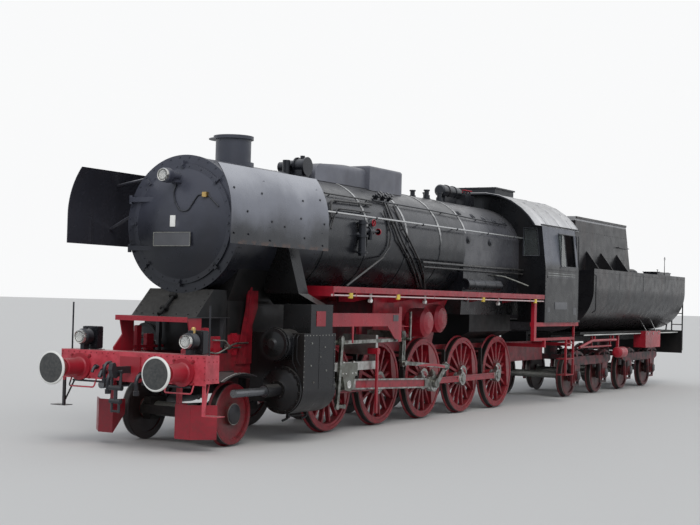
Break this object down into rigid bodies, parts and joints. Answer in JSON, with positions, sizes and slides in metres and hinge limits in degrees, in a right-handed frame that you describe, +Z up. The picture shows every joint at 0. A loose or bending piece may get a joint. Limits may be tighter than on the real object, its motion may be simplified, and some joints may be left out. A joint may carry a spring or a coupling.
{
  "type": "steam locomotive",
  "caption": "Ten-coupled steam locomotive with spoked wheels, working rods, smoke deflectors and a tub tender on two bogies.",
  "frame": {"origin": "midway between the front and rear buffer faces, on the centre line, on the ground under the wheel flanges", "axes": "+X towards the tender's end, +Y towards the engine's right side, +Z up"},
  "size_m": [22.975, 3, 4.516],
  "materials": {
    "black_paint": "satin black enamel, weathered",
    "brass": "dull brass",
    "lamp_glass": "clear lens",
    "red_paint": "signal red enamel, oily and dusty",
    "rod_steel": "bright oiled steel",
    "wheel_red": "signal red enamel on spoked wheels"
  },
  "bodies": {
    "engine": {"air_reservoirs": "red_paint", "ashpan": "black_paint", "backhead": "black_paint", "beam_lamps": "black_paint", "boiler_barrel": "black_paint", "boiler_fittings": "black_paint", "boiler_pipes": "black_paint", "brake_gear": "red_paint", "buffer_beam": "red_paint", "cab_roof": "black_paint", "cab_shell": "black_paint", "cab_steps": "red_paint", "chimney": "black_paint", "cylinders": "black_paint", "dome_casing": "black_paint", "drag_box": "red_paint", "firebox": "black_paint", "front_buffers": "red_paint", "front_coupling": "black_paint", "front_platform": "red_paint", "main_frame": "red_paint", "motion_brackets": "red_paint", "rail_guards": "red_paint", "running_boards": "red_paint", "slide_bars": "rod_steel", "smoke_deflectors": "black_paint", "smokebox": "black_paint", "smokebox_saddle": "black_paint", "valve_gear": "rod_steel"},
    "tender": {"coal_bunker": "black_paint", "tender_buffers": "red_paint", "tender_coupling": "black_paint", "tender_filler": "black_paint", "tender_fittings": "red_paint", "tender_frame": "black_paint", "tender_ladder": "black_paint", "tender_tub": "black_paint"},
    "bogie_1": {"bogie_frame_1": "red_paint"},
    "bogie_2": {"bogie_frame_2": "red_paint"},
    "chimney_cover": {"chimney_cover": "black_paint"},
    "coupled_wheelset_1": {"coupled_wheelset_1": "wheel_red"},
    "coupled_wheelset_2": {"coupled_wheelset_2": "wheel_red"},
    "coupled_wheelset_3": {"coupled_wheelset_3": "wheel_red"},
    "coupled_wheelset_4": {"coupled_wheelset_4": "wheel_red"},
    "coupled_wheelset_5": {"coupled_wheelset_5": "wheel_red"},
    "crosshead_left": {"crosshead_left": "rod_steel"},
    "crosshead_right": {"crosshead_right": "rod_steel"},
    "leading_truck": {"leading_truck": "red_paint"},
    "leading_wheelset": {"leading_wheelset": "wheel_red"},
    "main_rod_left": {"main_rod_left": "red_paint"},
    "main_rod_right": {"main_rod_right": "red_paint"},
    "side_rod_left": {"side_rod_left": "red_paint"},
    "side_rod_right": {"side_rod_right": "red_paint"},
    "smokebox_door": {"smokebox_door": "black_paint"},
    "tender_filler_lid": {"tender_filler_lid": "black_paint"},
    "tender_wheelset_1": {"tender_wheelset_1": "wheel_red"},
    "tender_wheelset_2": {"tender_wheelset_2": "wheel_red"},
    "tender_wheelset_3": {"tender_wheelset_3": "wheel_red"},
    "tender_wheelset_4": {"tender_wheelset_4": "wheel_red"}
  },
  "joints": [
    {"name": "drawbar_pivot", "type": "hinge", "parent": "engine", "child": "tender", "pos_m": [2.7625, 0, 1.313], "axis": [0, 0, 1], "range_deg": [-3, 3]},
    {"name": "leading_truck_pivot", "type": "hinge", "parent": "engine", "child": "leading_truck", "pos_m": [-8.2375, 0, 0.928], "axis": [0, 0, 1], "range_deg": [-2.5, 2.5]},
    {"name": "leading_wheelset_turn", "type": "hinge", "parent": "leading_truck", "child": "leading_wheelset", "pos_m": [-9.6375, 0, 0.453], "axis": [0, -1, 0], "continuous": true},
    {"name": "driving_wheelset_turn", "type": "hinge", "parent": "engine", "child": "coupled_wheelset_3", "pos_m": [-3.7375, 0, 0.728], "axis": [0, -1, 0], "continuous": true},
    {"name": "coupled_wheelset_1_turn", "type": "hinge", "parent": "engine", "child": "coupled_wheelset_1", "pos_m": [-7.0375, 0, 0.728], "axis": [0, -1, 0], "continuous": true},
    {"name": "coupled_wheelset_2_turn", "type": "hinge", "parent": "engine", "child": "coupled_wheelset_2", "pos_m": [-5.3875, 0, 0.728], "axis": [0, -1, 0], "continuous": true},
    {"name": "coupled_wheelset_4_turn", "type": "hinge", "parent": "engine", "child": "coupled_wheelset_4", "pos_m": [-2.0875, 0, 0.728], "axis": [0, -1, 0], "continuous": true},
    {"name": "coupled_wheelset_5_turn", "type": "hinge", "parent": "engine", "child": "coupled_wheelset_5", "pos_m": [-0.4375, 0, 0.728], "axis": [0, -1, 0], "continuous": true},
    {"name": "side_rod_left_pin", "type": "hinge", "parent": "coupled_wheelset_3", "child": "side_rod_left", "pos_m": [-4.06249, -0.94, 0.6707], "axis": [0, -1, 0], "continuous": true},
    {"name": "side_rod_right_pin", "type": "hinge", "parent": "coupled_wheelset_3", "child": "side_rod_right", "pos_m": [-3.7948, 0.94, 1.05299], "axis": [0, -1, 0], "continuous": true},
    {"name": "crosshead_left_slide", "type": "slide", "parent": "engine", "child": "crosshead_left", "axis": [1, 0, 0], "range_m": [-0.0069, 0.6531]},
    {"name": "main_rod_left_swing", "type": "hinge", "parent": "crosshead_left", "child": "main_rod_left", "pos_m": [-7.16063, -1.15, 0.778], "axis": [0, -1, 0], "range_deg": [-5.06, 7.17]},
    {"name": "crosshead_right_slide", "type": "slide", "parent": "engine", "child": "crosshead_right", "axis": [1, 0, 0], "range_m": [-0.2849, 0.3751]},
    {"name": "main_rod_right_swing", "type": "hinge", "parent": "crosshead_right", "child": "main_rod_right", "pos_m": [-6.88258, 1.15, 0.778], "axis": [0, -1, 0], "range_deg": [-12.13, 0.09]},
    {"name": "smokebox_door_hinge", "type": "hinge", "parent": "engine", "child": "smokebox_door", "pos_m": [-9.8875, 0.9, 3.098], "axis": [0, 0, -1], "range_deg": [0, 65]},
    {"name": "chimney_cover_hinge", "type": "hinge", "parent": "engine", "child": "chimney_cover", "pos_m": [-8.31396, 0.04022, 4.484], "axis": [0, 0, 1], "range_deg": [0, 107]},
    {"name": "filler_lid_hinge", "type": "hinge", "parent": "tender", "child": "tender_filler_lid", "pos_m": [9.9125, -0.74, 3.013], "axis": [-1, 0, 0], "range_deg": [0, 100]},
    {"name": "bogie_1_pivot", "type": "hinge", "parent": "tender", "child": "bogie_1", "pos_m": [4.6125, 0, 1.158], "axis": [0, 0, 1], "range_deg": [-4, 4]},
    {"name": "bogie_2_pivot", "type": "hinge", "parent": "tender", "child": "bogie_2", "pos_m": [8.4125, 0, 1.158], "axis": [0, 0, 1], "range_deg": [-4, 4]},
    {"name": "tender_wheelset_1_turn", "type": "hinge", "parent": "bogie_1", "child": "tender_wheelset_1", "pos_m": [3.6625, 0, 0.493], "axis": [0, -1, 0], "continuous": true},
    {"name": "tender_wheelset_2_turn", "type": "hinge", "parent": "bogie_1", "child": "tender_wheelset_2", "pos_m": [5.5625, 0, 0.493], "axis": [0, -1, 0], "continuous": true},
    {"name": "tender_wheelset_3_turn", "type": "hinge", "parent": "bogie_2", "child": "tender_wheelset_3", "pos_m": [7.4625, 0, 0.493], "axis": [0, -1, 0], "continuous": true},
    {"name": "tender_wheelset_4_turn", "type": "hinge", "parent": "bogie_2", "child": "tender_wheelset_4", "pos_m": [9.3625, 0, 0.493], "axis": [0, -1, 0], "continuous": true}
  ],
  "couplings": [
    {"joint": "coupled_wheelset_1_turn", "follows": "driving_wheelset_turn", "ratio": 1},
    {"joint": "coupled_wheelset_2_turn", "follows": "driving_wheelset_turn", "ratio": 1},
    {"joint": "coupled_wheelset_4_turn", "follows": "driving_wheelset_turn", "ratio": 1},
    {"joint": "coupled_wheelset_5_turn", "follows": "driving_wheelset_turn", "ratio": 1},
    {"joint": "side_rod_left_pin", "follows": "driving_wheelset_turn", "ratio": -1},
    {"joint": "side_rod_right_pin", "follows": "driving_wheelset_turn", "ratio": -1}
  ]
}
